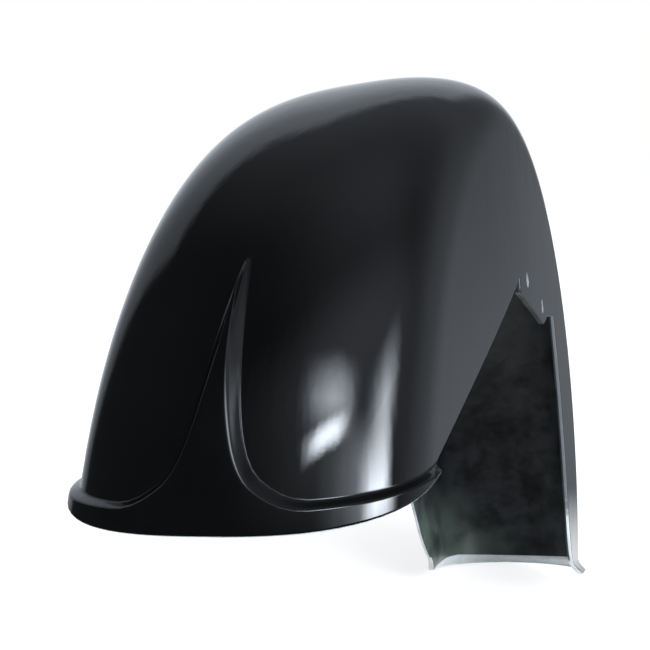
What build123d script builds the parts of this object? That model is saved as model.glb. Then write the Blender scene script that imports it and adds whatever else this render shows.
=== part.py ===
from build123d import *
import math
import os

os.makedirs("parts", exist_ok=True)

# Frame: origin midway between the two fork bolts on the centre plane,
# +X to the rider's left, -Y forward, +Z up along the fork legs. Millimetres.

# Arch about the wheel axle
crown_radius = 345.0
axle_behind = 13.5
axle_below = 196.75
wall = 4.0

# Cross-section: a rounded crown with straight sides that open slightly
half_width_front = 83.3
half_width_top = 82.4
half_width_rear = 69.5
shoulder_depth = 47.5
shoulder_power = 2.7
wall_draft = 1.1

# Angles round the axle, from straight ahead, over the top, to the rear
front_angle = 2.8
top_angle = 87.0
lip_angle = 178.0

# Flared lip along the rear edge
lip_length = 17.0
lip_flare = 8.0

# Lower edge seen from the side: one long sloping cut from nose to fork
trim_slope = 33.3
nose_slope = 30.8
nose_y = -335.4
nose_z = -180.1

# Fork tab and its two bolt holes
bolt_spacing = 76.2
bolt_hole = 10.5
tab_front = 70.0
tab_rear = 45.5
tab_drop_front = 17.6
tab_drop_rear = 12.5
notch_depth = 10.0
notch_length = 45.0
notch_run = 27.0
notch_rise = 13.0
tab_corner = 2.0

# Rear trim from the notch down to the rounded tail corner
tail_angle = 54.9
tail_corner_z = -194.6
tail_edge_slope = 11.3
tail_corner_radius = 60.0

# Raised band along the nose, swept up into a point at the centre
band_raise = 4.4
band_slope = 23.3
band_start_y = -327.7
band_start_z = -165.9
point_height = 102.5
point_waist = 8.6
point_sweep = 2.4
point_fade_from = 25.0
point_fade_to = 46.0
ramp_run = 4.6
ramp_fade = 24.0
ramp_drop = 1.2
edge_round = 0.2
edge_least = 0.8

# Sections along each loft, points along the crown line, and how far the lofts run past a cut
arch_stations = 12
dome_points = 15
band_stations = 24
band_fan = 55.0
run_past = 5.0


def half_width(angle):
    """Half-width of the crown: a parabola through its front, top and rear values."""
    a, b, c = front_angle, top_angle, lip_angle
    front = half_width_front * (angle - b) * (angle - c) / ((a - b) * (a - c))
    top = half_width_top * (angle - a) * (angle - c) / ((b - a) * (b - c))
    rear = half_width_rear * (angle - a) * (angle - b) / ((c - a) * (c - b))
    return front + top + rear


def on_arch(x, angle, radius):
    """Point at a lateral place, an angle round the axle and a radius from it."""
    t = math.radians(angle)
    return Vector(x, axle_behind - radius * math.cos(t), radius * math.sin(t) - axle_below)


def dome(angle, offset):
    """Half of the crown line, from the centre to the side, as (x, radius) pairs."""
    power = 2.0 / shoulder_power
    width = half_width(angle) + offset
    depth = shoulder_depth + offset
    pairs = []
    for i in range(dome_points):
        t = math.pi / 2.0 * i / (dome_points - 1)
        x = width * math.sin(t) ** power
        drop = depth * (1.0 - max(math.cos(t), 0.0) ** power)
        pairs.append((x, crown_radius + offset - drop))
    return pairs


def reach(points):
    """Length of a line from its start to each of its points."""
    lengths = [0.0]
    for a, b in zip(points, points[1:]):
        lengths.append(lengths[-1] + (b - a).length)
    return lengths


def crown_spacing():
    """Shares along the crown line at the top of the arch, used for every section."""
    half = [Vector(x, r, 0) for x, r in dome(top_angle, 0.0)]
    line = [Vector(-p.X, p.Y, 0) for p in reversed(half[1:])] + half
    lengths = reach(line)
    return [length / lengths[-1] for length in lengths]


def section(angle, outer, inner):
    """Closed section of the shell between an outer and an inner offset."""
    low = axle_below - max(tab_drop_front, tab_drop_rear) - run_past
    spread = (crown_radius - shoulder_depth - low) * math.tan(math.radians(wall_draft))
    down = on_arch(0, angle, 0) - on_arch(0, angle, 1)
    edges = []
    ends = []
    for offset in (outer, inner):
        half = dome(angle, offset)
        line = [(-x, r) for x, r in reversed(half[1:])] + half
        points = [on_arch(x, angle, r) for x, r in line]
        pull = down * reach(points)[-1]
        edges.append(Edge.make_spline(points, [-pull, pull], parameters=crown_spacing(), scale=False))
        foot = half_width(angle) + offset + spread
        left, right = on_arch(-foot, angle, low), on_arch(foot, angle, low)
        edges.append(Line(left, points[0]))
        edges.append(Line(points[-1], right))
        ends.append((left, right))
    edges.append(Line(ends[0][0], ends[1][0]))
    edges.append(Line(ends[0][1], ends[1][1]))
    return Wire(edges)


def arch():
    """The plain shell, from ahead of the nose cut to the start of the rear lip."""
    nose_angle = math.degrees(math.atan2(nose_z + axle_below, axle_behind - nose_y))
    start = nose_angle - math.degrees(3.0 * run_past / crown_radius)
    step = (lip_angle - start) / (arch_stations - 1)
    return Solid.make_loft([section(start + i * step, 0.0, -wall) for i in range(arch_stations)])


def lip():
    """The rear edge, turned outward along a parabola and kept at the same wall."""
    sweep = math.degrees(lip_length / crown_radius)
    wires = []
    for i in range(5):
        s = i / 4.0
        slope = 2.0 * lip_flare * s / lip_length
        flare = lip_flare * s * s
        wires.append(section(lip_angle + sweep * s, flare, flare - wall * math.hypot(1.0, slope)))
    return Solid.make_loft(wires)


def inside(x, y, z, offset):
    """True where a point lies under the outer surface moved out by an offset."""
    ahead, up = axle_behind - y, z + axle_below
    radius = math.hypot(ahead, up)
    if radius >= crown_radius + offset:
        return False
    width = half_width(math.degrees(math.atan2(up, ahead))) + offset
    shoulder = crown_radius - shoulder_depth
    if radius <= shoulder:
        return abs(x) < width + (shoulder - radius) * math.tan(math.radians(wall_draft))
    height = (radius - shoulder) / (shoulder_depth + offset)
    return (abs(x) / width) ** shoulder_power + height ** shoulder_power < 1.0


def on_surface(azimuth, z, offset):
    """Point of the offset surface in an upright plane of the fan that the band is built on."""
    fan_y = nose_y + 1.5 * half_width_front
    s, c = math.sin(math.radians(azimuth)), math.cos(math.radians(azimuth))
    near, far = 1.0, 2.0 * crown_radius
    for _ in range(48):
        middle = 0.5 * (near + far)
        if inside(middle * s, fan_y - middle * c, z, offset):
            near = middle
        else:
            far = middle
    return Vector(near * s, fan_y - near * c, z)


def band_line(y):
    """Height of the plain band line, seen from the side."""
    return band_start_z + (y - band_start_y) * math.tan(math.radians(band_slope))


def nose_cut(y):
    """Height of the cut under the nose, seen from the side."""
    return nose_z + (y - nose_y) * math.tan(math.radians(nose_slope))


def point_rise(x):
    """Height of the point above the band line: a bell with a blunt tip, faded out at its foot."""
    bell = point_height / (1.0 + (x / point_waist) ** point_sweep)
    s = min(max((x - point_fade_from) / (point_fade_to - point_fade_from), 0.0), 1.0)
    return bell * (1.0 - s * s * (3.0 - 2.0 * s))


def ramp_reach(x):
    """Sideways run of the ramp at a distance from the centre plane: widest along the point."""
    return ramp_run * math.exp(-x / ramp_fade)


def outline_height(azimuth, offset, shift, drop, reach_share):
    """Height at which the outline, or the top of its ramp, meets the offset surface in one upright plane."""
    low, high = nose_cut(nose_y - crown_radius), band_line(0.0) + point_height
    for _ in range(40):
        z = 0.5 * (low + high)
        p = on_surface(azimuth, z, offset)
        x = abs(p.X)
        if band_line(p.Y) + point_rise(x + shift + reach_share * ramp_reach(x)) - drop > z:
            low = z
        else:
            high = z
    return low


def cut_height(azimuth, offset):
    """Height at which the nose cut meets the offset surface in one upright plane."""
    z = nose_z
    for _ in range(6):
        z = nose_cut(on_surface(azimuth, z, offset).Y)
    return z


def band_section(azimuth, raised, base, shift, buried):
    """Closed section of the raised band: face, rounded edge, ramp and a buried back."""
    drop = 0.8 * shift
    foot_z = outline_height(azimuth, base, shift, drop, 0.0)
    top_z = outline_height(azimuth, raised, shift, drop + ramp_drop, 1.0)
    low_z = min(cut_height(azimuth, raised), top_z) - run_past
    foot = on_surface(azimuth, foot_z, base)
    top = on_surface(azimuth, top_z, raised)
    rise = foot_z - top_z
    edge_z = top_z - min(max(edge_round * rise, edge_least), 0.5 * (top_z - low_z))
    heights = [low_z + (edge_z - low_z) * i / 5.0 for i in range(6)]
    face = [on_surface(azimuth, z, raised) for z in heights]
    ramp_top = top + (foot - top) * edge_round
    ramp_end = foot + (foot - top) * (buried / (raised - base))
    heights = [ramp_end.Z + (low_z - ramp_end.Z) * i / 5.0 for i in range(1, 6)]
    back = [ramp_end] + [on_surface(azimuth, z, base - buried) for z in heights]
    even = [i / 5.0 for i in range(6)]
    return Wire([
        Edge.make_spline(face, parameters=even),
        Bezier(face[-1], top, ramp_top),
        Line(ramp_top, ramp_end),
        Edge.make_spline(back, parameters=even),
        Line(back[-1], face[0]),
    ])


def band(raised, base, shift, buried):
    """Both halves of the raised band, lofted from the centre plane to past the corner."""
    wires = []
    for i in range(band_stations):
        azimuth = band_fan * (i / (band_stations - 1)) ** 1.5
        wires.append(band_section(azimuth, raised, base, shift, buried))
    half = Solid.make_loft(wires)
    return half.fuse(half.mirror(Plane.YZ))


def side_profile():
    """Everything kept in side view: nose cut, long trim, fork tab, notch and tail."""
    far = 2.0 * crown_radius
    trim = math.tan(math.radians(trim_slope))
    nose = math.tan(math.radians(nose_slope))
    tab_top = notch_depth - tab_drop_front
    bend_y = (nose_cut(0.0) - tab_top - trim * tab_front) / (trim - nose)
    notch_y = tab_rear + notch_run
    notch_z = notch_rise - tab_drop_rear
    tail_top = (notch_y + notch_length, notch_z + notch_depth)
    tail_run = (tail_top[1] - tail_corner_z) / math.tan(math.radians(tail_angle))
    tail = (tail_top[0] + tail_run, tail_corner_z)
    tail_far = tail_corner_z - (far - tail[0]) * math.tan(math.radians(tail_edge_slope))
    points = [
        (-far, nose_cut(-far)),
        (bend_y, nose_cut(bend_y)),
        (-tab_front, tab_top),
        (-tab_front, -tab_drop_front),
        (tab_rear, -tab_drop_rear),
        (notch_y, notch_z),
        tail_top,
        tail,
        (far, tail_far),
        (far, far),
        (-far, far),
    ]
    face = make_face(Polyline(*points, close=True))
    corners = face.vertices()
    tail_vertex = corners.sort_by_distance((tail[0], tail[1], 0))[0]
    face = fillet(tail_vertex, tail_corner_radius)
    for place in ((-tab_front, -tab_drop_front), (tab_rear, -tab_drop_rear), (notch_y, notch_z), tail_top):
        vertex = face.vertices().sort_by_distance((place[0], place[1], 0))[0]
        face = fillet(vertex, tab_corner)
    return extrude(Plane.YZ * face, amount=2.0 * half_width_front, both=True)


def shell():
    """The whole mudguard: arch, lip and hollow raised band, trimmed and drilled."""
    profile = side_profile()
    plain = arch().fuse(lip()).intersect(profile).solid()
    raised = band(band_raise, 0.0, 0.0, 0.5 * wall).intersect(profile).solid()
    hollow = band(band_raise - wall, -wall, 0.5 * wall, 0.5 * wall)
    body = plain.fuse(raised).cut(hollow)
    for y in (-0.5 * bolt_spacing, 0.5 * bolt_spacing):
        hole = Pos(0, y, 0) * Rot(0, 90, 0) * Cylinder(0.5 * bolt_hole, 4.0 * half_width_front)
        body = body.cut(hole)
    return body


if __name__ == "__main__":
    mudguard = shell()
    export_step(mudguard, "parts/mudguard_shell.step")
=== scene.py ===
import math

import bmesh
import bpy
import numpy as np
from mathutils import Matrix, Vector


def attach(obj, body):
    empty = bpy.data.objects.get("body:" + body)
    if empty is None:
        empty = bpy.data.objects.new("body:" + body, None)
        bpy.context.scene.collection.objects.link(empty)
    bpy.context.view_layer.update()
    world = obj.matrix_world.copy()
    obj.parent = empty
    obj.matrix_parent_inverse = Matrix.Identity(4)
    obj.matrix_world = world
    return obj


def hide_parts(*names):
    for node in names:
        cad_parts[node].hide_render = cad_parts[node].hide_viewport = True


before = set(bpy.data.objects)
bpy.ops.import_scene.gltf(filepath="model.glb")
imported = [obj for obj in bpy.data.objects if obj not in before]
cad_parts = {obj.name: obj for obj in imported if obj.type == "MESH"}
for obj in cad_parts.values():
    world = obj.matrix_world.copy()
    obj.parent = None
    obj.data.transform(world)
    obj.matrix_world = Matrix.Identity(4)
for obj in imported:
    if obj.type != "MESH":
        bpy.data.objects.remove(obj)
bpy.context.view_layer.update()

bl_info = {
    "name": "Front mudguard",
    "version": (1, 0, 0),
    "blender": (4, 5, 0),
    "location": "View3D > Sidebar > Mudguard",
    "description": "Builds a moulded front mudguard on its packed frame, with its finishes and a studio",
    "category": "Add Mesh",
}

MM = 0.001
NODE = "mudguard_shell"

# Arch round the wheel axle, in millimetres, with the solid's own values
CROWN_RADIUS = 345.0
AXLE_Y = 13.5
AXLE_Z = -196.75
WALL = 4.0
WIDTHS = (83.3, 82.4, 69.5)
WIDTH_ANGLES = tuple(np.radians((2.8, 87.0, 178.0)))
SHOULDER_DEPTH = 47.5
SHOULDER_POWER = 2.0 / 2.7
DRAFT = math.tan(math.radians(1.1))
SHOULDER_RADIUS = CROWN_RADIUS - SHOULDER_DEPTH

# Flared rear lip: its edge is drawn in at the middle, and its inside is pale bare laminate over a share of
# the half-width that grows along the lip; this pale strip is partly a painted highlight at the lip's bend
LIP_ANGLE = math.radians(178.0)
LIP_LENGTH = 17.0
LIP_FLARE = 8.0
LIP_BOW = 0.6
LIP_BARE_AND_HIGHLIGHT = (0.5, 0.95)

# Lower edge seen from the side, with a wider tail corner than the solid's
NOSE_Y, NOSE_Z = -335.4, -180.1
NOSE_SLOPE = math.tan(math.radians(30.8))
TRIM_SLOPE = math.tan(math.radians(33.3))
TAB_FRONT, TAB_REAR = -70.0, 45.5
TAB_FRONT_Z, TAB_REAR_Z, TAB_TOP_Z = -17.6, -12.5, -7.6
TAB_CORNER = 0.59
TAB_CORNER_WAYS = np.array(((1.0, 1.0), (-0.8, 1.0)))
TAB_EVEN = 34.0
NOTCH = (72.5, 0.5)
TAIL_TOP = (117.5, 10.5)
TAIL_SLOPE = math.radians(54.9)
TAIL_CORNER_Z = -194.6
TAIL_EDGE_SLOPE = math.radians(11.3)
TAIL_RADIUS = 110.0
TAIL_END = 60.0
BOLT_Y = (-38.1, 38.1)
BOLT_RADIUS = 5.25

# Raised band along the nose and its point, which stands a little lower than the solid's
BAND_RAISE = 4.4
BAND_Y, BAND_Z = -327.7, -165.9
BAND_SLOPE = math.tan(math.radians(23.3))
POINT_HEIGHT, POINT_WAIST, POINT_SWEEP = 100.0, 8.6, 2.4
POINT_FADE = (25.0, 46.0)
POINT_TAPER, POINT_BLUNT = 18.0, 0.1
RAMP_RUN, RAMP_FADE, RAMP_TIP, RAMP_DROP = 4.6, 24.0, 0.6, 1.2
EDGE_ROUND, EDGE_LEAST, EDGE_ROOM = 0.2, 0.8, 0.2
INNER_DROP = 0.8

# Grid sizes and where the nose patch meets the main one
ROWS = 64
ROW_SHARES = np.append(np.linspace(0.0, 0.995, ROWS), 1.0)
FOOT_SHARES = np.concatenate((
    0.06 * np.linspace(0.0, 1.0, 14, endpoint=False) ** 1.5,
    np.linspace(0.06, 0.955, ROWS - 30, endpoint=False),
    np.linspace(0.955, 1.0, 17),
))
NOSE_ROWS, NOSE_CROWDING = 34, 1.5
COLUMNS = {"front": 64, "tab": 46, "notch": 12, "tail": 104, "lip": 16}
TAB_ROWS = 5
NOSE_PATCH_ANGLE = math.radians(30.0)
NOSE_PATCH_Y = -215.0
FILLET_STEPS, RAMP_STEPS, BEND_STEPS, FACE_STEPS = 5, 4, 6, 40
FACE_SHARE, FACE_TURN = 0.97, 0.002
TABLE_POINTS = 4001
TAIL_STEPS, TAIL_END_STEPS = 40, 20
FOOT_POINTS, FOOT_REACH, FOOT_CROWDING = 2400, 1.2, 2.5
SEARCH_ANGLES, SEARCH_STEPS = np.radians((-6.0, 60.0)), 50
HOLE_WINDOW = 9.5
JOIN_DISTANCE = 2e-6
SHARP_ANGLE = math.radians(40.0)

# Camera of the photograph, in metres, and the floor under the rear lip
CAMERA_PLACE = (0.1881, -0.6841, -0.1841)
CAMERA_RIGHT = (0.93311, 0.35909, 0.01897)
CAMERA_UP = (0.06445, -0.21891, 0.97361)
CAMERA_BACK = (0.35377, -0.90727, -0.22741)
SENSOR_WIDTH = 36.0
FLOOR_POINT = (0.0, 0.36, -0.203)
FLOOR_NORMAL = (0.125, -0.373, 0.920)
FLOOR_SIZE = 12.0

# Studio, in degrees: bearing from the camera's side, height above the floor, roll, half-width and half-height
# with how softly each fades, and strength
SOFT_BOXES = {
    "window": (-13.0, 56.0, 0.0, (9.0, 10.0), (4.0, 6.5), 8.5),
    "bar": (-15.0, 48.2, 20.0, (8.5, 6.5), (2.2, 2.0), 22.0),
    "tall_box": (37.5, 30.5, -4.0, (12.5, 8.0), (5.0, 12.0), 29.0),
    "over_box": (49.5, 44.5, -8.0, (9.0, 10.0), (2.5, 11.5), 14.0),
    "link": (20.0, 35.5, -16.0, (10.0, 25.0), (10.0, 7.0), 4.3),
    "sweep": (192.0, -4.0, 0.0, (24.0, 12.0), (14.0, 12.0), 0.4),
    "backdrop": (-163.5, 11.0, 5.0, (35.0, 4.0), (29.0, 3.0), 0.3),
    "backdrop_right": (186.0, 9.0, -4.0, (25.0, 14.0), (18.0, 8.0), 0.25),
    "right_wall": (91.0, -10.0, -7.0, (46.0, 41.0), (28.0, 40.0), 0.72),
    "right_ceiling": (135.0, 53.0, 20.0, (48.0, 16.0), (31.0, 14.0), 0.12),
    "front_wall": (17.0, 57.0, -3.0, (38.0, 22.0), (20.0, 13.0), 0.5),
}
ROOM_DARK, CEILING = 0.05, 0.21
CEILING_FROM, CEILING_TO = 54.0, 85.0
FLOOR_GLOW = 0.8
SHEET_EDGE = (0.08, 0.34)

# Finishes of the mesh in the order of its material slots, those of the strips of a cut edge from outside to
# inside, and the heights in metres between which a grey coat sets in on the cut edges
GELCOAT, LAMINATE, CUT, BARE = 0, 1, 2, 3
RIM_FINISHES = (GELCOAT, GELCOAT, CUT, CUT, CUT, LAMINATE, LAMINATE)
CUT_SHARE = 0.55
HOLE_SHARES = np.array((0.0, 0.3, 0.6, 0.85, 1.0))
CUT_COAT_HEIGHTS, BARE_COAT_HEIGHTS = (-0.165, -0.13), (-0.1, 0.05)


def crown_table():
    """Length along the crown line against its angle parameter.

    The line is the superellipse x = w sin(t)^p, fall = d (1 - cos(t)^p), and its length is the running
    sum of its chords.
    """
    t = 0.25 * math.pi * (1.0 - np.cos(np.linspace(0.0, math.pi, TABLE_POINTS)))
    x = WIDTHS[1] * np.sin(t) ** SHOULDER_POWER
    r = SHOULDER_DEPTH * np.maximum(np.cos(t), 0.0) ** SHOULDER_POWER
    length = np.concatenate(([0.0], np.cumsum(np.hypot(np.diff(x), np.diff(r)))))
    return t, length


TABLE_T, TABLE_LENGTH = crown_table()
SHOULDER_LENGTH = TABLE_LENGTH[-1]


def half_width(angle):
    """Half-width of the crown: the parabola through its front, top and rear values."""
    a, b, c = WIDTH_ANGLES
    front = WIDTHS[0] * (angle - b) * (angle - c) / ((a - b) * (a - c))
    top = WIDTHS[1] * (angle - a) * (angle - c) / ((b - a) * (b - c))
    rear = WIDTHS[2] * (angle - a) * (angle - b) / ((c - a) * (c - b))
    return front + top + rear


def section_radius(along, offset):
    """Radius from the axle at a length along the section, on the surface moved out by an offset."""
    t = np.interp(along, TABLE_LENGTH, TABLE_T)
    fall = np.maximum(np.cos(t), 0.0) ** SHOULDER_POWER
    return SHOULDER_RADIUS + (SHOULDER_DEPTH + offset) * fall - np.maximum(along - SHOULDER_LENGTH, 0.0)


def on_shell(along, angle, offset):
    """Point of the shell: a superellipse crown that runs into straight drafted sides.

    along is the length from the centre line, angle goes round the axle from straight ahead, and offset
    moves the surface out from the gelcoat face.
    """
    t = np.interp(along, TABLE_LENGTH, TABLE_T)
    deep = np.maximum(along - SHOULDER_LENGTH, 0.0)
    x = (half_width(angle) + offset) * np.sin(t) ** SHOULDER_POWER + deep * DRAFT
    r = section_radius(along, offset)
    return np.stack(np.broadcast_arrays(x, AXLE_Y - r * np.cos(angle), AXLE_Z + r * np.sin(angle)), axis=-1)


def along_at(radius, offset):
    """Length along the section at which the offset surface has a given radius from the axle."""
    share = np.clip((radius - SHOULDER_RADIUS) / (SHOULDER_DEPTH + offset), 0.0, 1.0)
    t = np.arccos(np.clip(share ** (1.0 / SHOULDER_POWER), 0.0, 1.0))
    return np.interp(t, TABLE_T, TABLE_LENGTH) + np.maximum(SHOULDER_RADIUS - radius, 0.0)


def outward(along, angle, offset):
    """Unit normal of the shell, from central differences along and round the section."""
    step, turn = 0.05, 2e-4
    across = on_shell(along + step, angle, offset) - on_shell(np.maximum(along - step, 0.0), angle, offset)
    over = on_shell(along, angle + turn, offset) - on_shell(along, angle - turn, offset)
    normal = np.cross(across, over)
    return normal / np.linalg.norm(normal, axis=-1, keepdims=True)


def flare(angle):
    """How far the rear lip has turned outward: a parabola over its length."""
    return LIP_FLARE * (np.maximum(angle - LIP_ANGLE, 0.0) * CROWN_RADIUS / LIP_LENGTH) ** 2


def flare_wall(angle, wall):
    """Wall measured across the section, so that the flared lip keeps its thickness."""
    slope = 2.0 * LIP_FLARE * np.maximum(angle - LIP_ANGLE, 0.0) * CROWN_RADIUS / LIP_LENGTH ** 2
    return wall * np.hypot(1.0, slope)


def lower_cut(y, inset):
    """Height of the lower edge ahead of the fork tab: the nose cut, then the trim, moved in by an inset."""
    nose = NOSE_Z + (y - NOSE_Y) * NOSE_SLOPE + inset * math.hypot(1.0, NOSE_SLOPE)
    trim = TAB_TOP_Z + (y - TAB_FRONT) * TRIM_SLOPE + inset * math.hypot(1.0, TRIM_SLOPE)
    return np.maximum(nose, trim)


def smooth_step(t):
    """The cubic that runs from 0 to 1 with level ends."""
    t = np.clip(t, 0.0, 1.0)
    return t * t * (3.0 - 2.0 * t)


def band_height(points):
    """Height of points above the sloping line that the band follows."""
    return points[..., 2] - BAND_Z - (points[..., 1] - BAND_Y) * BAND_SLOPE


def point_rise(x):
    """Height of the point above the band line: a bell with a blunt tip, faded out at its foot."""
    bell = POINT_HEIGHT / (1.0 + (x / POINT_WAIST) ** POINT_SWEEP)
    return bell * (1.0 - smooth_step((x - POINT_FADE[0]) / (POINT_FADE[1] - POINT_FADE[0])))


def ramp_reach(x):
    """Sideways run of the ramp at a distance from the centre: widest on the flanks, none at the tip."""
    return RAMP_RUN * np.exp(-x / RAMP_FADE) * (1.0 - np.exp(-x / RAMP_TIP))


def crest_rise(x, shift):
    """Height of the ramp's top above the band line."""
    return point_rise(x + shift + ramp_reach(x)) - INNER_DROP * shift - RAMP_DROP


def foot_rise(x, shift):
    """Height of the ramp's foot above the band line."""
    return point_rise(x + shift) - INNER_DROP * shift


def fillet_rise(x, shift):
    """Height at which the hollow at the ramp's foot starts, above the band line."""
    foot = foot_rise(x, shift)
    return foot + np.maximum(EDGE_ROUND * (foot - crest_rise(x, shift)), EDGE_LEAST)


def raised_shell(along, angle, base, lift):
    """Shell moved out by the band's lift, which runs out to nothing at the tip of the point."""
    left = POINT_HEIGHT - band_height(on_shell(along, angle, base))
    return on_shell(along, angle, base + lift * smooth_step(left / POINT_TAPER + POINT_BLUNT))


def angle_where(along, surface, spare):
    """Angle at which the room above a line, worked out from the surface's points, falls to nothing.

    It is found by bisection between two angles that hold it.
    """
    low, high = (np.full(along.shape, angle) for angle in SEARCH_ANGLES)
    for _ in range(SEARCH_STEPS):
        middle = 0.5 * (low + high)
        under = spare(surface(along, middle)) < 0.0
        low = np.where(under, middle, low)
        high = np.where(under, high, middle)
    return 0.5 * (low + high)


def chord_lengths(points):
    """Length from the first point of a line to each of its points, as the running sum of its chords."""
    return np.concatenate(([0.0], np.cumsum(np.linalg.norm(np.diff(points, axis=0), axis=1))))


def at_lengths(places, lengths, values):
    """Values along a line at given lengths, each coordinate by linear interpolation."""
    return np.stack([np.interp(places, lengths, v) for v in values.T], axis=1)


def side_normals(points):
    """Outward normals of the cut in side view, with the mitre at each bend."""
    step = np.diff(points, axis=0)
    step = step / np.linalg.norm(step, axis=1, keepdims=True)
    normal = np.stack((step[:, 1], -step[:, 0]), axis=1)
    both = np.concatenate((normal[:1], normal)) + np.concatenate((normal, normal[-1:]))
    return 2.0 * both / np.sum(both * both, axis=1, keepdims=True)


def run(start, end, count):
    """Evenly spaced points of a straight run, ends included."""
    t = np.linspace(0.0, 1.0, count + 1)[:, None]
    return (1.0 - t) * np.asarray(start, float) + t * np.asarray(end, float)


def tab_under():
    """Lower edge of the fork tab: its points stand below the tab's top ones, then crowd into the corner."""
    top = np.linspace(TAB_FRONT, NOTCH[0], COLUMNS["tab"] + 1)
    crowd = (TAB_REAR - TAB_EVEN) / (NOTCH[0] - TAB_EVEN)
    y = np.where(top < TAB_EVEN, top, TAB_EVEN + (top - TAB_EVEN) * crowd)
    z = TAB_FRONT_Z + (y - TAB_FRONT) * (TAB_REAR_Z - TAB_FRONT_Z) / (TAB_REAR - TAB_FRONT)
    return np.stack((y, z), axis=1)


def tail_line():
    """The rear trim in side view: a straight cut, a corner of large radius and a short run under the lip."""
    down = np.array((math.cos(TAIL_SLOPE), -math.sin(TAIL_SLOPE)))
    back = np.array((math.cos(TAIL_EDGE_SLOPE), -math.sin(TAIL_EDGE_SLOPE)))
    corner = np.asarray(TAIL_TOP) + down * (TAIL_TOP[1] - TAIL_CORNER_Z) / math.sin(TAIL_SLOPE)
    turn = TAIL_SLOPE - TAIL_EDGE_SLOPE
    tangent = TAIL_RADIUS * math.tan(0.5 * turn)
    start = corner - down * tangent
    centre = start + TAIL_RADIUS * np.array((math.sin(TAIL_SLOPE), math.cos(TAIL_SLOPE)))
    a = TAIL_SLOPE - np.linspace(0.0, turn, TAIL_STEPS)
    arc = centre - TAIL_RADIUS * np.stack((np.sin(a), np.cos(a)), axis=1)
    last = corner + back * tangent
    end = run(last, last + TAIL_END * back, TAIL_END_STEPS)
    return np.concatenate((run(TAIL_TOP, start, TAIL_STEPS), arc[1:], end[1:]))


def ray_angle(y, z):
    """Angle round the axle of places in side view, from straight ahead over the top."""
    angle = np.arctan2(z - AXLE_Z, AXLE_Y - y)
    return np.where(angle < -0.5 * math.pi, angle + 2.0 * math.pi, angle)


def side_edge(inset):
    """The whole lower edge in side view, moved in by an inset, as named runs of points and normals.

    Each point moves along the mitred normal of the cut. The tail and lip runs are then spaced by length,
    and by equal steps round the axle.
    """
    left = run((TAB_FRONT, TAB_TOP_Z), (TAB_FRONT, TAB_FRONT_Z), TAB_ROWS)
    under = tab_under()
    right = run((TAB_REAR, TAB_REAR_Z), NOTCH, TAB_ROWS)
    runs = {
        "front": run((NOSE_PATCH_Y, lower_cut(NOSE_PATCH_Y, 0.0)), (TAB_FRONT, TAB_TOP_Z), COLUMNS["front"]),
        "left": left,
        "under": under,
        "right": right,
        "notch": run(NOTCH, TAIL_TOP, COLUMNS["notch"]),
        "tail": tail_line(),
    }
    under[[0, -1]] += TAB_CORNER * TAB_CORNER_WAYS
    left[-1], right[0] = under[0], under[-1]
    chain = np.concatenate([points[i > 0:] for i, points in enumerate(runs.values())])
    normals = side_normals(chain)
    moved = chain - inset * normals
    edge, first = {}, 0
    for name, points in runs.items():
        last = first + len(points) - 1
        edge[name] = (moved[first:last + 1], normals[first:last + 1])
        first = last
    points, normals = edge["tail"]
    lengths = chord_lengths(points)
    rays = np.linspace(LIP_ANGLE, LIP_ANGLE + (LIP_LENGTH - inset) / CROWN_RADIUS, COLUMNS["lip"] + 1)
    at_rays = np.interp(rays, np.maximum.accumulate(ray_angle(*points.T)), lengths)
    for name, places in (("tail", np.linspace(0.0, at_rays[0], COLUMNS["tail"] + 1)), ("lip", at_rays)):
        edge[name] = (at_lengths(places, lengths, points), at_lengths(places, lengths, normals))
    return edge, rays


def main_patch(edge, rays, offset):
    """Shell behind the nose: columns that are straight in side view, from the crown to the lower edge.

    A column joins an angle on the crown to a point of the edge. Its points stand at even lengths along the
    section, and the angle of each is where the column's line reaches that point's radius from the axle. The
    lip's columns draw in towards the middle, which bows its edge.
    Returns lengths along the section, angles and offsets, each as a grid of columns by rows.
    """
    between = run(edge["left"][0][0], edge["notch"][0][0], COLUMNS["tab"])
    ends = np.concatenate((
        edge["front"][0],
        between[1:],
        edge["notch"][0][1:],
        edge["tail"][0][1:],
        edge["lip"][0][1:],
    ))
    upright = [math.acos((AXLE_Y - y) / CROWN_RADIUS) for y in (TAB_FRONT, NOTCH[0], TAIL_TOP[0])]
    turns = (NOSE_PATCH_ANGLE, *upright, LIP_ANGLE)
    counts = [COLUMNS[name] for name in ("front", "tab", "notch", "tail")]
    spans = [np.linspace(a, b, n + 1)[1:] for a, b, n in zip(turns, turns[1:], counts)]
    angles = np.concatenate(([NOSE_PATCH_ANGLE], *spans, rays[1:]))
    offsets = offset(angles)[:, None]
    crown = np.stack((AXLE_Y - CROWN_RADIUS * np.cos(angles), AXLE_Z + CROWN_RADIUS * np.sin(angles)), axis=1)
    axle = np.array((AXLE_Y, AXLE_Z))
    reach = ends - crown
    full = along_at(np.linalg.norm(ends - axle, axis=1), offsets[:, 0])[:, None]
    along = full * ROW_SHARES
    radius = section_radius(along, offsets)
    square = np.sum(reach * reach, axis=1)[:, None]
    slope = np.sum((crown - axle) * reach, axis=1)[:, None]
    spare = np.sum((crown - axle) ** 2, axis=1)[:, None] - radius ** 2
    share = (-slope - np.sqrt(np.maximum(slope ** 2 - square * spare, 0.0))) / square
    y = crown[:, :1] + share * reach[:, :1]
    z = crown[:, 1:] + share * reach[:, 1:]
    angle = ray_angle(y, z)
    bowed = 1.0 - LIP_BOW * (1.0 - ROW_SHARES ** 2)
    angle = np.where(angles[:, None] > LIP_ANGLE, LIP_ANGLE + (angle - LIP_ANGLE) * bowed, angle)
    return along, angle, np.broadcast_to(offsets, along.shape)


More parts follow.
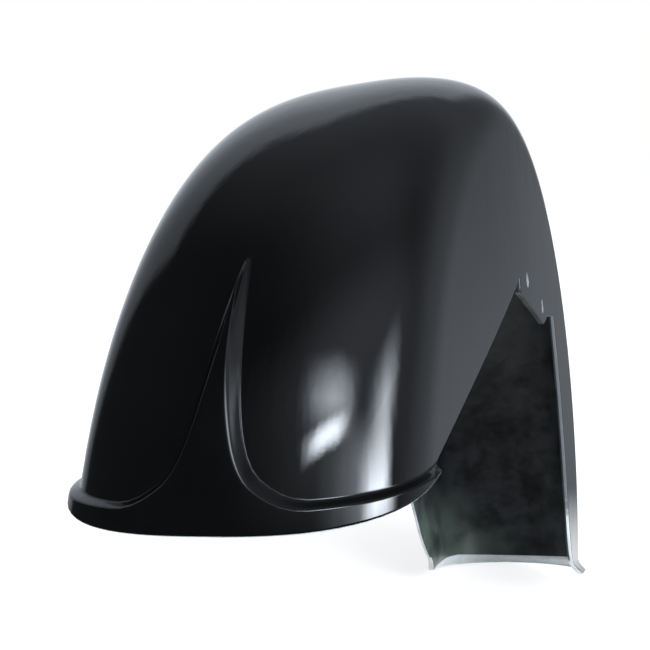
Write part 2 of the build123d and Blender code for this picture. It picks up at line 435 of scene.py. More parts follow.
def on_wall(side, offset):
    """Points of the straight side wall above places given in side view."""
    ahead, up = AXLE_Y - side[..., 0], side[..., 1] - AXLE_Z
    radius = np.hypot(ahead, up)
    x = half_width(np.arctan2(up, ahead)) + offset + (SHOULDER_RADIUS - radius) * DRAFT
    return np.concatenate((x[..., None], side), axis=-1)


def tab_patch(edge, top, offset):
    """Fork tab below the line between its upper corners: a Coons patch of its four edges in side view."""
    under, left, right = edge["under"][0], edge["left"][0], edge["right"][0][::-1]
    u = np.linspace(0.0, 1.0, len(top))[:, None, None]
    v = np.linspace(0.0, 1.0, TAB_ROWS + 1)[None, :, None]
    along = (1.0 - v) * top[:, None] + v * under[:, None]
    across = (1.0 - u) * left[None] + u * right[None]
    corners = (1.0 - u) * ((1.0 - v) * top[0] + v * under[0]) + u * ((1.0 - v) * top[-1] + v * under[-1])
    return on_wall(along + across - corners, offset)


def band_foot(inset, base, shift):
    """Upper border of the raised band, from its tip on the centre line to its end at the lower edge.

    The border is where the shell crosses the height at which the foot's hollow starts. Returns lengths along
    the section and angles, spaced closely at both ends.
    """
    def plain(along, angle):
        return on_shell(along, angle, base)

    def spare(points):
        return band_height(points) - fillet_rise(points[..., 0], shift)

    along = FOOT_REACH * SHOULDER_LENGTH * np.linspace(0.0, 1.0, FOOT_POINTS) ** FOOT_CROWDING
    points = plain(along, angle_where(along, plain, spare))
    room = points[:, 2] - lower_cut(points[:, 1], inset)
    last = int(np.argmax(room < 0.0))
    share = room[last - 1] / (room[last - 1] - room[last])
    lengths = chord_lengths(points)
    full = lengths[last - 1] + share * (lengths[last] - lengths[last - 1])
    along = np.interp(full * FOOT_SHARES, lengths, along)
    return along, angle_where(along, plain, spare)


def nose_patch(foot, first, base, edge_start):
    """Shell between the band's foot and the main patch: a Coons patch in length along and angle round.

    Its fourth side follows the straight lower edge, so that both skins end on the same cut.
    """
    t = np.linspace(0.0, 1.0, NOSE_ROWS + 1) ** NOSE_CROWDING
    front, rear = np.stack(foot, axis=1), np.stack(first, axis=1)
    corner = on_shell(front[-1:, 0], front[-1:, 1], base)[0, 1:]
    side = (1.0 - t[:, None]) * corner + t[:, None] * edge_start
    radius = np.hypot(side[:, 0] - AXLE_Y, side[:, 1] - AXLE_Z)
    edge = np.stack((along_at(radius, base), ray_angle(*side.T)), axis=1)
    w, u = t[:, None, None], ROW_SHARES[None, :, None]
    grid = (1.0 - w) * front[None] + w * rear[None]
    grid = grid + u * (edge - (1.0 - t[:, None]) * front[-1] - t[:, None] * rear[-1])[:, None]
    return grid[..., 0], grid[..., 1]


def bend(start, corner, end, steps):
    """Quadratic curve from start to end that leaves and arrives along the lines to the corner."""
    t = np.linspace(0.0, 1.0, steps + 1)[None, :, None]
    return (1.0 - t) ** 2 * start[:, None] + 2.0 * t * (1.0 - t) * corner[:, None] + t ** 2 * end[:, None]


def shorten(line, room):
    """Lines cut where their room falls to nothing and spread evenly over what is left."""
    count = line.shape[1]
    last = np.argmax(room < 1e-7, axis=1)
    before = np.maximum(last - 1, 0)
    index = np.arange(len(line))
    fall = np.maximum(room[index, before] - room[index, last], 1e-12)
    stop = np.where(last > 0, before + np.clip(room[index, before] / fall, 0.0, 1.0), 0.0)
    place = stop[:, None] * np.linspace(0.0, 1.0, count)
    near = np.minimum(place.astype(int), count - 2)[..., None]
    share = place[..., None] - near
    return (1.0 - share) * np.take_along_axis(line, near, 1) + share * np.take_along_axis(line, near + 1, 1)


def band_patch(foot, inset, lift, base, shift):
    """Raised band from its upper border over the ramp, down its face to the nose cut.

    At each length along the section the line is a small hollow at the foot, a straight ramp, a rounded edge
    and the shell moved out by the lift. The line is then shortened to where it meets the cut.
    """
    along, border_angle = foot

    def plain(along, angle):
        return on_shell(along, angle, base)

    def raised(along, angle):
        return raised_shell(along, angle, base, lift)

    def room(points):
        return points[..., 2] - lower_cut(points[..., 1], inset)

    foot_angle = angle_where(along, plain, lambda p: band_height(p) - foot_rise(p[..., 0], shift))
    top_angle = angle_where(along, raised, lambda p: band_height(p) - crest_rise(p[..., 0], shift))
    cut_angle = angle_where(along, raised, room)
    border = plain(along, border_angle)
    start = plain(along, foot_angle)
    top = raised(along, top_angle)
    rise = start[:, 2] - top[:, 2]
    fall = np.minimum(np.maximum(EDGE_ROUND * rise, EDGE_LEAST), 0.5 * np.maximum(room(top), EDGE_ROOM))
    edge_angle = angle_where(along, raised, lambda p: p[..., 2] - top[:, 2] + fall)
    hollow = bend(border, start, start + EDGE_ROUND * (top - start), FILLET_STEPS)
    shoulder = top + EDGE_ROUND * (start - top)
    round_edge = bend(shoulder, top, raised(along, edge_angle), BEND_STEPS)
    t = np.linspace(0.0, 1.0, RAMP_STEPS + 1)[None, 1:-1, None]
    ramp = (1.0 - t) * hollow[:, -1:] + t * shoulder[:, None]
    t = np.append(np.linspace(0.0, FACE_SHARE, FACE_STEPS), 1.0)[None, 1:]
    low = np.minimum(cut_angle, edge_angle - FACE_TURN)[:, None]
    face = raised(along[:, None], (1.0 - t) * edge_angle[:, None] + t * low)
    line = np.concatenate((hollow, ramp, round_edge, face), axis=1)
    return shorten(line, room(line)), (along, cut_angle)


def hole_windows(strip):
    """Blocks of the tab's grid that bolt holes take the place of: their first and last columns and rows."""
    windows = []
    for y in BOLT_Y:
        reach = strip[:, ROWS, 1]
        first = int(np.max(np.nonzero(reach <= y - HOLE_WINDOW)))
        last = int(np.min(np.nonzero(reach >= y + HOLE_WINDOW)))
        heights = strip[(first + last) // 2, :, 2]
        upper = int(np.max(np.nonzero(heights >= HOLE_WINDOW)))
        lower = int(np.min(np.nonzero(heights <= -HOLE_WINDOW)))
        windows.append((y, first, last, upper, lower))
    return windows


def hole_rings(strip, window, offset, inset):
    """Rings that join a block of the grid to a round hole, as steps from the block's border to the circle.

    The circle's points stand at even steps, from the block's upper front corner.
    """
    y, first, last, upper, lower = window
    border = np.concatenate((
        strip[first:last, upper],
        strip[last, upper:lower],
        strip[last:first:-1, lower],
        strip[first, lower:upper:-1],
        strip[first:first + 1, upper],
    ))
    a = 0.75 * math.pi - np.linspace(0.0, 2.0 * math.pi, len(border))
    spoke = np.stack((np.cos(a), np.sin(a)), axis=1)
    circle = np.array((y, 0.0)) + (BOLT_RADIUS + inset) * spoke
    t = HOLE_SHARES[:, None, None]
    rings = on_wall((1.0 - t) * border[:, 1:] + t * circle, offset)
    rings[0] = border
    return rings, -spoke


def skin(sizes, inner, windows=None):
    """Patches of one face of the shell, the points along its edges and its hole blocks, for positive X."""
    base = -sizes["wall"] if inner else 0.0
    shift = 0.5 * sizes["wall"] if inner else 0.0
    inset = sizes["edge_round"]

    def offset(angle):
        return flare(angle) - (flare_wall(angle, sizes["wall"]) if inner else 0.0)

    edge, rays = side_edge(inset)
    main = main_patch(edge, rays, offset)
    foot = band_foot(inset, base, shift)
    nose = nose_patch(foot, (main[0][0], main[1][0]), base, edge["front"][0][0])
    band, cut = band_patch(foot, inset, sizes["band_raise"], base, shift)
    body = on_shell(*main)
    front = on_shell(*nose, base)
    first, last = COLUMNS["front"], COLUMNS["front"] + COLUMNS["tab"]
    tab = tab_patch(edge, body[first:last + 1, -1, 1:], base)
    tab[:, 0] = body[first:last + 1, -1]
    strip = np.concatenate((body[first:last + 1], tab[:, 1:]), axis=1)
    windows = windows or hole_windows(strip)
    body_keep = np.ones((len(body) - 1, ROWS), bool)
    tab_keep = np.ones((COLUMNS["tab"], TAB_ROWS), bool)
    for _, start, stop, upper, lower in windows:
        body_keep[first + start:first + stop, upper:min(lower, ROWS)] = False
        tab_keep[start:stop, :max(lower - ROWS, 0)] = False
    holes = [hole_rings(strip, window, base, sizes["hole_round"]) for window in windows]
    finish = LAMINATE if inner else GELCOAT
    # Painted highlight: the pale bare finish on the lip's inside, widening along the lip, partly stands in
    # for light caught at its bend
    bare = ROW_SHARES[:-1] < np.linspace(*LIP_BARE_AND_HIGHLIGHT, COLUMNS["lip"])[:, None]
    lip_finish = np.where(bare & inner, BARE, finish).ravel()
    lip = len(body) - 1 - COLUMNS["lip"]
    patches = [
        (band, None, finish),
        (front, None, finish),
        (body[:lip + 1], body_keep[:lip], finish),
        (body[lip:], None, lip_finish),
        (tab, tab_keep, finish),
    ]
    patches += [(rings, None, finish) for rings, _ in holes]

    nose_away = np.array((NOSE_SLOPE, -1.0)) / math.hypot(1.0, NOSE_SLOPE)
    lip_away = np.array((math.sin(rays[-1]), math.cos(rays[-1])))
    rear_away = np.concatenate([edge[name][1][1:] for name in ("notch", "tail", "lip")])
    lip_normal = outward(main[0][-1], main[1][-1], main[2][-1])[-2::-1]
    wall_normal = np.array((1.0, 0.0, 0.0))
    border = [
        (band[:, -1], nose_away, outward(cut[0], cut[1], base + sizes["band_raise"])),
        (front[1:, -1], edge["front"][1][0], wall_normal),
        (body[1:first + 1, -1], edge["front"][1][1:], wall_normal),
        (tab[0, 1:], edge["left"][1][1:], wall_normal),
        (tab[1:, -1], edge["under"][1][1:], wall_normal),
        (tab[-1, -2::-1], edge["right"][1][1:], wall_normal),
        (body[last + 1:, -1], rear_away, wall_normal),
        (body[-1, -2::-1], lip_away, lip_normal),
    ]
    border = [tuple(np.concatenate(part) for part in zip(*(
        (points, np.broadcast_to(away, (len(points), 2)), np.broadcast_to(normal, points.shape))
        for points, away, normal in border
    )))]
    border += [(rings[-1], spoke, np.broadcast_to(wall_normal, rings[-1].shape)) for rings, spoke in holes]
    return patches, border, windows


def rim_rows(outer, inner, inset):
    """Cut edge of the wall: a quarter round off the outer face, two steps across, then the inner face."""
    points, away, normals = outer
    away = np.pad(away, ((0, 0), (1, 0)))
    a = np.radians((0.0, 22.5, 45.0, 67.5, 90.0))[:, None, None]
    arc = points + away * inset * np.sin(a) - normals * inset * (1.0 - np.cos(a))
    across = inner[0] + away * inset
    middle = arc[-1] + CUT_SHARE * (across - arc[-1])
    return np.concatenate((arc, middle[None], across[None], inner[0][None]))


def quads(shape, first, keep):
    """Corner numbers of a grid's quads, without the ones that a hole takes away."""
    index = first + np.arange(shape[0] * shape[1]).reshape(shape[:2])
    faces = np.stack((index[:-1, :-1], index[1:, :-1], index[1:, 1:], index[:-1, 1:]), axis=-1)
    return faces[keep] if keep is not None else faces.reshape(-1, 4)


def shell_arrays(sizes):
    """Points, quads and finish numbers of the whole shell: both skins, cut edges and mirror images.

    The cut edge is raw inside colour along the fork tab and bare along the lip and in the holes.
    """
    outer, outer_border, windows = skin(sizes, False)
    inner, inner_border, _ = skin(sizes, True, windows)
    sheets = outer + inner
    insets = (sizes["edge_round"], *(sizes["hole_round"] for _ in windows))
    lip_from = len(outer_border[0][0]) - ROWS - COLUMNS["lip"] - 1
    tab_to = lip_from - COLUMNS["tail"] - COLUMNS["notch"]
    tab_from = tab_to - COLUMNS["tab"] - 2 * TAB_ROWS
    bare_from = (lip_from, *(0 for _ in windows))
    for outside, inside, inset, first in zip(outer_border, inner_border, insets, bare_from):
        rows = rim_rows(outside, inside, inset)
        place = np.arange(rows.shape[1] - 1)
        on_tab = (place >= tab_from) & (place < tab_to)
        for i, finish in enumerate(RIM_FINISHES):
            kinds = np.select((place >= first, on_tab), (BARE, LAMINATE), finish)
            sheets.append((rows[i:i + 2], None, finish if finish == GELCOAT else kinds))
    starts = np.cumsum([0] + [points.shape[0] * points.shape[1] for points, _, _ in sheets])
    faces = [quads(points.shape, start, keep) for (points, keep, _), start in zip(sheets, starts)]
    finishes = np.concatenate([np.broadcast_to(finish, len(f)) for f, (_, _, finish) in zip(faces, sheets)])
    points = np.concatenate([points.reshape(-1, 3) for points, _, _ in sheets])
    faces = np.concatenate(faces)
    mirrored = faces[:, ::-1] + len(points)
    points = np.concatenate((points, points * np.array((-1.0, 1.0, 1.0))))
    return points, np.concatenate((faces, mirrored)), np.concatenate((finishes, finishes))


def shell_mesh(sizes):
    """One closed mesh: the grids joined along their shared borders, with the faces turned outward."""
    points, faces, finishes = shell_arrays(sizes)
    mesh = bpy.data.meshes.new("mudguard")
    mesh.from_pydata((points * MM).tolist(), [], faces.tolist())
    mesh.polygons.foreach_set("material_index", finishes.astype(np.int32))
    work = bmesh.new()
    work.from_mesh(mesh)
    bmesh.ops.remove_doubles(work, verts=work.verts, dist=JOIN_DISTANCE)
    bmesh.ops.dissolve_degenerate(work, edges=work.edges, dist=0.1 * JOIN_DISTANCE)
    bmesh.ops.recalc_face_normals(work, faces=work.faces)
    gaps = sum(not e.is_manifold for e in work.edges)
    work.to_mesh(mesh)
    work.free()
    if gaps:
        raise RuntimeError(f"the shell is not closed: {gaps} edges have no second face")
    mesh.polygons.foreach_set("use_smooth", np.ones(len(mesh.polygons), bool))
    mesh.set_sharp_from_angle(angle=SHARP_ANGLE)
    return mesh


class NodeTree:
    """Short calls to add nodes to a tree, set their inputs and link them."""

    def __init__(self, tree):
        self.tree = tree

    def add(self, kind, **inputs):
        return self.fill(self.tree.nodes.new(kind), inputs)

    def fill(self, node, inputs):
        for name, value in inputs.items():
            self.set(node.inputs[name.replace("_", " ")], value)
        return node

    def set(self, socket, value):
        if isinstance(value, bpy.types.NodeSocket):
            self.tree.links.new(value, socket)
        else:
            socket.default_value = value

    def combine(self, kind, operation, a, b):
        node = self.tree.nodes.new(kind)
        node.operation = operation
        self.set(node.inputs[0], a)
        self.set(node.inputs[1], b)
        return node.outputs

    def math(self, operation, a, b=0.0):
        return self.combine("ShaderNodeMath", operation, a, b)[0]

    def dot(self, a, b):
        return self.combine("ShaderNodeVectorMath", "DOT_PRODUCT", a, b)["Value"]

    def distance(self, a, b):
        return self.combine("ShaderNodeVectorMath", "DISTANCE", a, b)["Value"]

    def split(self, place):
        return self.add("ShaderNodeSeparateXYZ", Vector=place).outputs

    def stretch(self, place, scale):
        return self.add("ShaderNodeMapping", Vector=place, Scale=scale).outputs["Vector"]

    def noise(self, place, scale, detail=3.0, roughness=0.5, distortion=0.0):
        node = self.add("ShaderNodeTexNoise", Vector=place, Scale=scale, Detail=detail)
        node.inputs["Roughness"].default_value = roughness
        node.inputs["Distortion"].default_value = distortion
        return node.outputs["Fac"]

    def spread(self, value, low, high, out_low=0.0, out_high=1.0):
        node = self.tree.nodes.new("ShaderNodeMapRange")
        node.interpolation_type = "SMOOTHSTEP"
        names = ("Value", "From Min", "From Max", "To Min", "To Max")
        for name, v in zip(names, (value, low, high, out_low, out_high)):
            self.set(node.inputs[name], v)
        return node.outputs["Result"]

    def mix(self, share, a, b):
        node = self.tree.nodes.new("ShaderNodeMix")
        node.data_type = "RGBA"
        self.set(node.inputs["Factor"], share)
        self.set(node.inputs["A"], a)
        self.set(node.inputs["B"], b)
        return node.outputs["Result"]

    def bump(self, height, distance, strength=1.0):
        node = self.add("ShaderNodeBump", Height=height, Distance=distance, Strength=strength)
        return node.outputs["Normal"]

    def group(self, group, **inputs):
        node = self.tree.nodes.new("ShaderNodeGroup")
        node.node_tree = group
        return self.fill(node, inputs).outputs["Mask"]


def rgba(colour):
    """A property's colour with full opacity, for a node's socket."""
    return (*colour, 1.0)


def new_material(name):
    """An empty node material with its output and one Principled shader."""
    material = bpy.data.materials.new(name)
    material.use_nodes = True
    material.node_tree.nodes.clear()
    tree = NodeTree(material.node_tree)
    shader = tree.add("ShaderNodeBsdfPrincipled")
    output = tree.add("ShaderNodeOutputMaterial")
    material.node_tree.links.new(shader.outputs["BSDF"], output.inputs["Surface"])
    place = tree.add("ShaderNodeTexCoord").outputs["Object"]
    return material, tree, shader, place


def mask_group(name, vectors, values):
    """An empty node group with named vector and value inputs and one mask as its output."""
    group = bpy.data.node_groups.new(name, "ShaderNodeTree")
    for kind, names in (("NodeSocketVector", vectors), ("NodeSocketFloat", values)):
        for socket in names:
            group.interface.new_socket(socket, in_out="INPUT", socket_type=kind)
    group.interface.new_socket("Mask", in_out="OUTPUT", socket_type="NodeSocketFloat")
    inputs = group.nodes.new("NodeGroupInput").outputs
    outputs = group.nodes.new("NodeGroupOutput").inputs
    return group, NodeTree(group), inputs, outputs


def dust_group():
    """Shop dust and handling marks: broad soft patches broken up by fine specks, as a mask from 0 to 1."""
    group, tree, inputs, outputs = mask_group("shop_dust", ("Place",), ("Patch Scale", "Speck Scale"))
    place = inputs["Place"]
    patches = tree.noise(place, inputs["Patch Scale"], detail=4.0, roughness=0.55, distortion=0.3)
    specks = tree.noise(place, inputs["Speck Scale"], detail=2.0, roughness=0.6)
    broken = tree.math("ADD", 0.35, tree.math("MULTIPLY", tree.spread(specks, 0.55, 0.75), 0.65))
    tree.set(outputs["Mask"], tree.math("MULTIPLY", tree.spread(patches, 0.42, 0.78), broken))
    return group


def gelcoat_material(look, dust):
    """Polished black gelcoat: mould waves, polishing lines and orange peel, with a breath of dust."""
    material, tree, shader, place = new_material("gelcoat_black")
    mask = tree.group(dust, Place=place, Patch_Scale=9.0, Speck_Scale=900.0)
    dusted = tree.math("MULTIPLY", mask, look.dust)
    tree.set(shader.inputs["Base Color"], tree.mix(dusted, rgba(look.gelcoat), rgba(look.dust_colour)))
    tree.set(shader.inputs["Roughness"], tree.spread(mask, 0.0, 1.0, look.gloss, look.gloss + 0.06))
    waves = tree.noise(place, 16.0, detail=1.0, roughness=0.4)
    polish = tree.noise(tree.stretch(place, (1.0, 1.0, 0.14)), 110.0, detail=2.0)
    peel = tree.noise(place, 420.0, detail=1.0, roughness=0.4)
    fine = tree.math("ADD", tree.math("MULTIPLY", polish, 0.25), tree.math("MULTIPLY", peel, 0.012))
    tree.set(shader.inputs["Normal"], tree.bump(tree.math("ADD", waves, fine), look.wave_height))
    shader.inputs["IOR"].default_value = 1.52
    return material


def laminate_material(look, dust):
    """Raw inside of the moulding: brushed resin in soft clouds, greener towards the tail, with a painted dark
    reflection in broad patches towards the bottom.
    """
    material, tree, shader, place = new_material("raw_laminate")
    brushed = tree.stretch(place, (1.0, 1.0, 1.15))
    clouds = tree.noise(brushed, 48.0, detail=4.0, roughness=0.55, distortion=0.25)
    broad = tree.noise(place, 17.0, distortion=0.3)
    across, _, height = tree.split(place)
    low = tree.spread(height, -0.1, -0.17)
    far = tree.spread(across, 0.02, -0.062)
    green = tree.math("MULTIPLY", tree.math("MULTIPLY", low, far), tree.spread(broad, 0.3, 0.6))
    # Painted dark reflection: broad patches darken towards the bottom of the inside, standing in for the dark
    # reflections there
    painted_dark_reflection = tree.math("MULTIPLY", tree.spread(height, -0.15, -0.18), tree.spread(broad, 0.62, 0.42))
    resin = tree.mix(tree.spread(clouds, 0.3, 0.72), rgba(look.resin_dark), rgba(look.resin_grey))
    reflection_darkened = tree.mix(tree.math("MULTIPLY", painted_dark_reflection, 0.8), resin, rgba(look.resin_dark))
    tinted = tree.math("ADD", green, tree.math("MULTIPLY", tree.spread(broad, 0.45, 0.7), 0.1))
    colour = tree.mix(tinted, reflection_darkened, rgba(look.resin_green))
    strands = tree.noise(brushed, 170.0, roughness=0.6, distortion=1.0)
    mask = tree.group(dust, Place=place, Patch_Scale=14.0, Speck_Scale=500.0)
    lines = tree.math("MULTIPLY", tree.spread(strands, 0.52, 0.7), 0.06)
    dusted = tree.math("ADD", lines, tree.math("MULTIPLY", mask, 0.05))
    tree.set(shader.inputs["Base Color"], tree.mix(dusted, colour, rgba(look.strand)))
    tree.set(shader.inputs["Roughness"], tree.spread(clouds, 0.3, 0.7, 0.3, 0.48))
    swells = tree.noise(brushed, 30.0, detail=2.0, roughness=0.45)
    bumps = tree.math("ADD", swells, tree.math("MULTIPLY", strands, 0.03))
    tree.set(shader.inputs["Normal"], tree.bump(bumps, 0.002, strength=0.8))
    return material


def edge_material(name, look, dust, coat_heights):
    """Sanded edge of the laminate: pale fibre with resin streaks, under a thin grey coat higher up.

    The coat sets in between the two given heights, with a ragged border.
    """
    material, tree, shader, place = new_material(name)
    fibres = tree.noise(place, 900.0, roughness=0.6, distortion=1.0)
    patches = tree.noise(place, 60.0, roughness=0.6)
    streaks = tree.spread(tree.noise(place, 130.0, roughness=0.6), 0.4, 0.72)
    pale = tree.mix(tree.math("MULTIPLY", streaks, 0.5), rgba(look.cut_pale), rgba(look.cut_green))
    height = tree.math("ADD", tree.split(place)[2], tree.spread(patches, 0.3, 0.7, -0.012, 0.012))
    colour = tree.mix(tree.spread(height, *coat_heights), pale, rgba(look.cut_coat))
    mask = tree.group(dust, Place=place, Patch_Scale=40.0, Speck_Scale=1200.0)
    dusted = tree.math("MULTIPLY", mask, 0.2)
    tree.set(shader.inputs["Base Color"], tree.mix(dusted, colour, rgba(look.dust_colour)))
    tree.set(shader.inputs["Roughness"], tree.spread(fibres, 0.3, 0.7, 0.25, 0.45))
    tree.set(shader.inputs["Normal"], tree.bump(fibres, 0.0002, strength=0.5))
    return material


def length_setting(name, description, default):
    """A length that a user may change, in metres."""
    return bpy.props.FloatProperty(name=name, description=description, default=default, unit="LENGTH")


def share_setting(name, description, default):
    """A share from 0 to 1 that a user may change."""
    return bpy.props.FloatProperty(
        name=name, description=description, default=default, subtype="FACTOR", min=0.0, max=1.0)


def colour_setting(name, description, default):
    """A colour that a user may change."""
    return bpy.props.FloatVectorProperty(
        name=name, description=description, default=default, subtype="COLOR", size=3)


class MudguardShell(bpy.types.PropertyGroup):
    """Sizes of the moulding that leave its fit on the fork and wheel alone."""

    wall: length_setting("Wall", "Thickness of the laminate", WALL * MM)
    band_raise: length_setting("Band raise", "Height of the nose band above the shell", BAND_RAISE * MM)
    edge_round: length_setting("Edge round", "Radius sanded on the outer side of the cut edges", 0.001)
    hole_round: length_setting("Hole round", "Radius at the mouth of the bolt holes", 0.0005)


class MudguardFinish(bpy.types.PropertyGroup):
    """Colours and gloss of the gelcoat, the raw inside and the cut edges."""

    gelcoat: colour_setting("Gelcoat", "Colour of the polished outer face", (0.0014, 0.0014, 0.0016))
    gloss: share_setting("Gloss", "Roughness of the clean gelcoat", 0.035)
    wave_height: length_setting("Wave height", "Height of the long waves left by the mould", 0.0004)
    dust: share_setting("Dust", "Share of dust in its thickest patches", 0.008)
    dust_colour: colour_setting("Dust colour", "Colour of sanding dust", (0.42, 0.43, 0.41))
    resin_dark: colour_setting("Dark resin", "Darkest colour of the raw inside", (0.012, 0.013, 0.015))
    resin_grey: colour_setting("Grey resin", "Cloudy grey of the raw inside", (0.04, 0.043, 0.047))
    resin_green: colour_setting("Green resin", "Greenish colour of its thicker resin", (0.095, 0.125, 0.1))
    strand: colour_setting("Strands", "Colour of the glass strands near its surface", (0.12, 0.14, 0.13))
    cut_pale: colour_setting("Cut fibre", "Pale colour of the cut edges", (0.88, 0.9, 0.88))
    cut_green: colour_setting("Cut resin", "Greenish streaks of the cut edges", (0.68, 0.72, 0.68))
    cut_coat: colour_setting("Cut coat", "Thin grey coat over the upper cut edges", (0.17, 0.18, 0.19))


class MudguardStudio(bpy.types.PropertyGroup):
    """Camera, floor and lamps of the plain white studio."""

    lens: bpy.props.FloatProperty(
        name="Lens", description="Focal length on a 36 mm sensor, in millimetres", default=53.54)
    shadow: share_setting("Shadow", "Share of the floor's white that takes light and shade", 0.4)
    fill: bpy.props.FloatProperty(
        name="Fill", description="Level of the dim room round the guard", default=1.0)
    lamps: bpy.props.FloatProperty(
        name="Lamps", description="Level of the soft boxes and the backdrop", default=1.0)
    tint: colour_setting("Tint", "Colour of the cool daylight", (0.92, 1.0, 1.1))


class MudguardSettings(bpy.types.PropertyGroup):
    """All the settings of the mudguard and its studio."""

    shell: bpy.props.PointerProperty(type=MudguardShell, name="Shell", description="Sizes of the moulding")
    finish: bpy.props.PointerProperty(type=MudguardFinish, name="Finish", description="Colours and gloss")
    studio: bpy.props.PointerProperty(
        type=MudguardStudio, name="Studio", description="Camera, floor and lamps")


class MUDGUARD_OT_shell(bpy.types.Operator):
    """Build the moulded shell with its gelcoat, raw inside and cut edges, in place of its solid"""

    bl_idname = "mudguard.build_shell"
    bl_label = "Build shell"

    def execute(self, context):
        settings = context.scene.mudguard
        names = ("wall", "band_raise", "edge_round", "hole_round")
        mesh = shell_mesh({name: getattr(settings.shell, name) / MM for name in names})
        dust = dust_group()
        look = settings.finish
        finishes = {
            GELCOAT: gelcoat_material(look, dust),
            LAMINATE: laminate_material(look, dust),
            CUT: edge_material("cut_edge", look, dust, CUT_COAT_HEIGHTS),
            BARE: edge_material("bare_laminate", look, dust, BARE_COAT_HEIGHTS),
        }
        for number in sorted(finishes):
            mesh.materials.append(finishes[number])
        piece = bpy.data.objects.new("mudguard", mesh)
        context.scene.collection.objects.link(piece)
        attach(piece, "root")
        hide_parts(NODE)
        return {"FINISHED"}


def grid_plane(name, centre, normal, size):
    """A flat square on a plane, as a mesh in place with its object at the origin."""
    normal = Vector(normal).normalized()
    side = normal.orthogonal().normalized()
    over = normal.cross(side)
    corners = ((-1, -1), (1, -1), (1, 1), (-1, 1))
    points = [Vector(centre) + 0.5 * size * (a * side + b * over) for a, b in corners]
    mesh = bpy.data.meshes.new(name)
    mesh.from_pydata(points, [], [(0, 1, 2, 3)])
    plane = bpy.data.objects.new(name, mesh)
    bpy.context.scene.collection.objects.link(plane)
    return plane


def floor_material(shadow):
    """White to the camera, with a share of plain diffuse white that takes the soft shadow.

    Reflections show it as a sheet that fades out a short way from the guard.
    """
    material = bpy.data.materials.new("white_floor")
    material.use_nodes = True
    material.node_tree.nodes.clear()
    tree = NodeTree(material.node_tree)
    glow = tree.add("ShaderNodeEmission", Color=(1.0, 1.0, 1.0, 1.0), Strength=FLOOR_GLOW)
    matt = tree.add("ShaderNodeBsdfDiffuse", Color=(shadow, shadow, shadow, 1.0))
    both = tree.add("ShaderNodeAddShader")
    tree.set(both.inputs[0], glow.outputs[0])
    tree.set(both.inputs[1], matt.outputs[0])
    path = tree.add("ShaderNodeLightPath").outputs
    mirrored = tree.math("MAXIMUM", path["Is Glossy Ray"], path["Is Transmission Ray"])
    either = tree.add("ShaderNodeMixShader", Fac=tree.math("MAXIMUM", path["Is Camera Ray"], mirrored))
    plain = tree.add("ShaderNodeBsdfDiffuse", Color=(0.8, 0.8, 0.8, 1.0))
    tree.set(either.inputs[1], plain.outputs[0])
    tree.set(either.inputs[2], both.outputs[0])
    place = tree.add("ShaderNodeTexCoord").outputs["Object"]
    away = tree.distance(place, FLOOR_POINT)
    beyond = tree.math("MULTIPLY", mirrored, tree.spread(away, *SHEET_EDGE))
    limited = tree.add("ShaderNodeMixShader", Fac=beyond)
    tree.set(limited.inputs[1], either.outputs[0])
    tree.set(limited.inputs[2], tree.add("ShaderNodeBsdfTransparent").outputs[0])
    output = tree.add("ShaderNodeOutputMaterial")
    tree.set(output.inputs["Surface"], limited.outputs[0])
    return material


def studio_axes():
    """Side, ahead and up of the studio: up from the floor, ahead from the guard towards the camera."""
    up = Vector(FLOOR_NORMAL).normalized()
    ahead = Vector(CAMERA_BACK)
    ahead = (ahead - up * ahead.dot(up)).normalized()
    return up.cross(ahead), ahead, up


def soft_box_group():
    """A far soft box, as a mask: one inside its angles across and over, with smooth faded borders."""
    sizes = ("Width", "Width Fade", "Height", "Height Fade")
    group, tree, inputs, outputs = mask_group("soft_box", ("Direction", "Facing", "Across", "Over"), sizes)
    near = tree.dot(inputs["Direction"], inputs["Facing"])
    masks = []
    for axis, size in (("Across", "Width"), ("Over", "Height")):
        angle = tree.math("ARCTAN2", tree.dot(inputs["Direction"], inputs[axis]), near)
        outer = tree.math("ADD", inputs[size], inputs[f"{size} Fade"])
        inner = tree.math("SUBTRACT", inputs[size], inputs[f"{size} Fade"])
        masks.append(tree.spread(tree.math("ABSOLUTE", angle), inner, outer, 1.0, 0.0))
    tree.set(outputs["Mask"], tree.math("MULTIPLY", *masks))
    return group


def soft_box(tree, group, direction, axes, box):
    """The light of one soft box, placed by its bearing, height and roll round the studio's axes."""
    side, ahead, up = axes
    turn, lift, roll = (math.radians(v) for v in box[:3])
    level = math.sin(turn) * side + math.cos(turn) * ahead
    across = math.cos(turn) * side - math.sin(turn) * ahead
    over = math.cos(lift) * up - math.sin(lift) * level
    width, width_fade, height, height_fade = (math.radians(v) for v in (*box[3], *box[4]))
    mask = tree.group(
        group,
        Direction=direction,
        Facing=math.cos(lift) * level + math.sin(lift) * up,
        Across=math.cos(roll) * across + math.sin(roll) * over,
        Over=math.cos(roll) * over - math.sin(roll) * across,
        Width=width,
        Width_Fade=width_fade,
        Height=height,
        Height_Fade=height_fade,
    )
    return tree.math("MULTIPLY", mask, box[5])


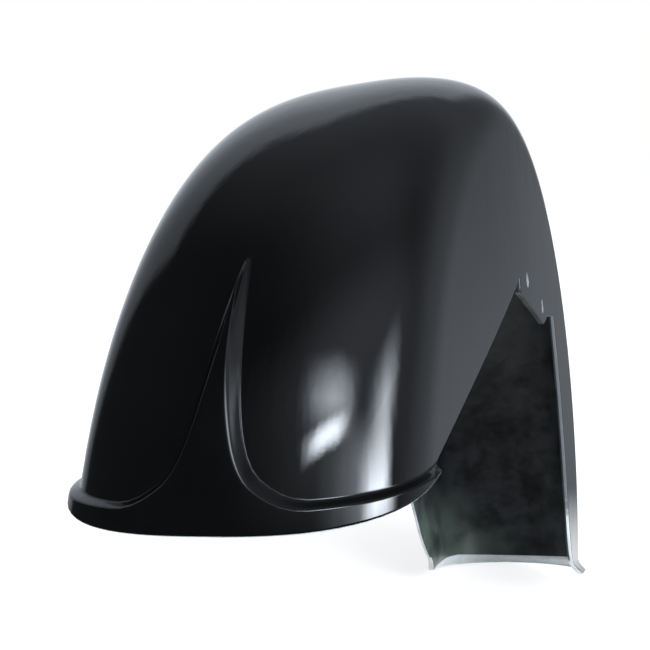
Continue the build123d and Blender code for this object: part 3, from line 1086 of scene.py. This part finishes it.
def studio_world(fill, lamps, tint):
    """White to the camera, and otherwise a dim room with a pale ceiling, a backdrop and soft boxes."""
    world = bpy.data.worlds.new("studio")
    world.use_nodes = True
    world.node_tree.nodes.clear()
    tree = NodeTree(world.node_tree)
    axes = studio_axes()
    group = soft_box_group()
    direction = tree.add("ShaderNodeTexCoord").outputs["Generated"]
    height = tree.math("ARCSINE", tree.dot(direction, tuple(axes[2])))
    edges = (math.radians(CEILING_FROM), math.radians(CEILING_TO))
    light = tree.math("MULTIPLY", tree.spread(height, *edges, ROOM_DARK, CEILING), fill)
    for box in SOFT_BOXES.values():
        lamp = tree.math("MULTIPLY", soft_box(tree, group, direction, axes, box), lamps)
        light = tree.math("ADD", light, lamp)
    seen = tree.add("ShaderNodeLightPath").outputs["Is Camera Ray"]
    strength = tree.add("ShaderNodeMix", Factor=seen, A=light, B=1.0).outputs["Result"]
    colour = tree.mix(seen, rgba(tint), (1.0, 1.0, 1.0, 1.0))
    background = tree.add("ShaderNodeBackground", Color=colour, Strength=strength)
    output = tree.add("ShaderNodeOutputWorld")
    tree.set(output.inputs["Surface"], background.outputs[0])
    return world


class MUDGUARD_OT_stage(bpy.types.Operator):
    """Set the camera at the photograph's viewpoint, with a white floor and soft studio light"""

    bl_idname = "mudguard.build_stage"
    bl_label = "Build studio"

    def execute(self, context):
        studio = context.scene.mudguard.studio
        camera = bpy.data.objects.new("camera", bpy.data.cameras.new("camera"))
        camera.data.sensor_width = SENSOR_WIDTH
        camera.data.lens = studio.lens
        axes = Matrix((CAMERA_RIGHT, CAMERA_UP, CAMERA_BACK)).transposed().to_4x4()
        camera.matrix_world = Matrix.Translation(Vector(CAMERA_PLACE)) @ axes
        context.scene.collection.objects.link(camera)
        context.scene.camera = camera
        floor = grid_plane("floor", FLOOR_POINT, FLOOR_NORMAL, FLOOR_SIZE)
        floor.data.materials.append(floor_material(studio.shadow))
        context.scene.world = studio_world(studio.fill, studio.lamps, studio.tint)
        context.scene.view_settings.view_transform = "Standard"
        return {"FINISHED"}


class MUDGUARD_PT_panel(bpy.types.Panel):
    """Settings and build steps of the mudguard"""

    bl_idname = "MUDGUARD_PT_panel"
    bl_label = "Mudguard"
    bl_space_type = "VIEW_3D"
    bl_region_type = "UI"
    bl_category = "Mudguard"

    def draw(self, context):
        settings = context.scene.mudguard
        for group in (settings.shell, settings.finish, settings.studio):
            box = self.layout.box()
            for name in group.__annotations__:
                box.prop(group, name)
        for operator in (MUDGUARD_OT_shell, MUDGUARD_OT_stage):
            self.layout.operator(operator.bl_idname)


CLASSES = (
    MudguardShell,
    MudguardFinish,
    MudguardStudio,
    MudguardSettings,
    MUDGUARD_OT_shell,
    MUDGUARD_OT_stage,
    MUDGUARD_PT_panel,
)


def register():
    for entry in CLASSES:
        bpy.utils.register_class(entry)
    bpy.types.Scene.mudguard = bpy.props.PointerProperty(
        type=MudguardSettings, name="Mudguard", description="Settings of the mudguard and its studio")


def unregister():
    del bpy.types.Scene.mudguard
    for entry in reversed(CLASSES):
        bpy.utils.unregister_class(entry)


def main():
    register()
    bpy.ops.mudguard.build_shell()
    bpy.ops.mudguard.build_stage()
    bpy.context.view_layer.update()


if __name__ == "__main__":
    main()
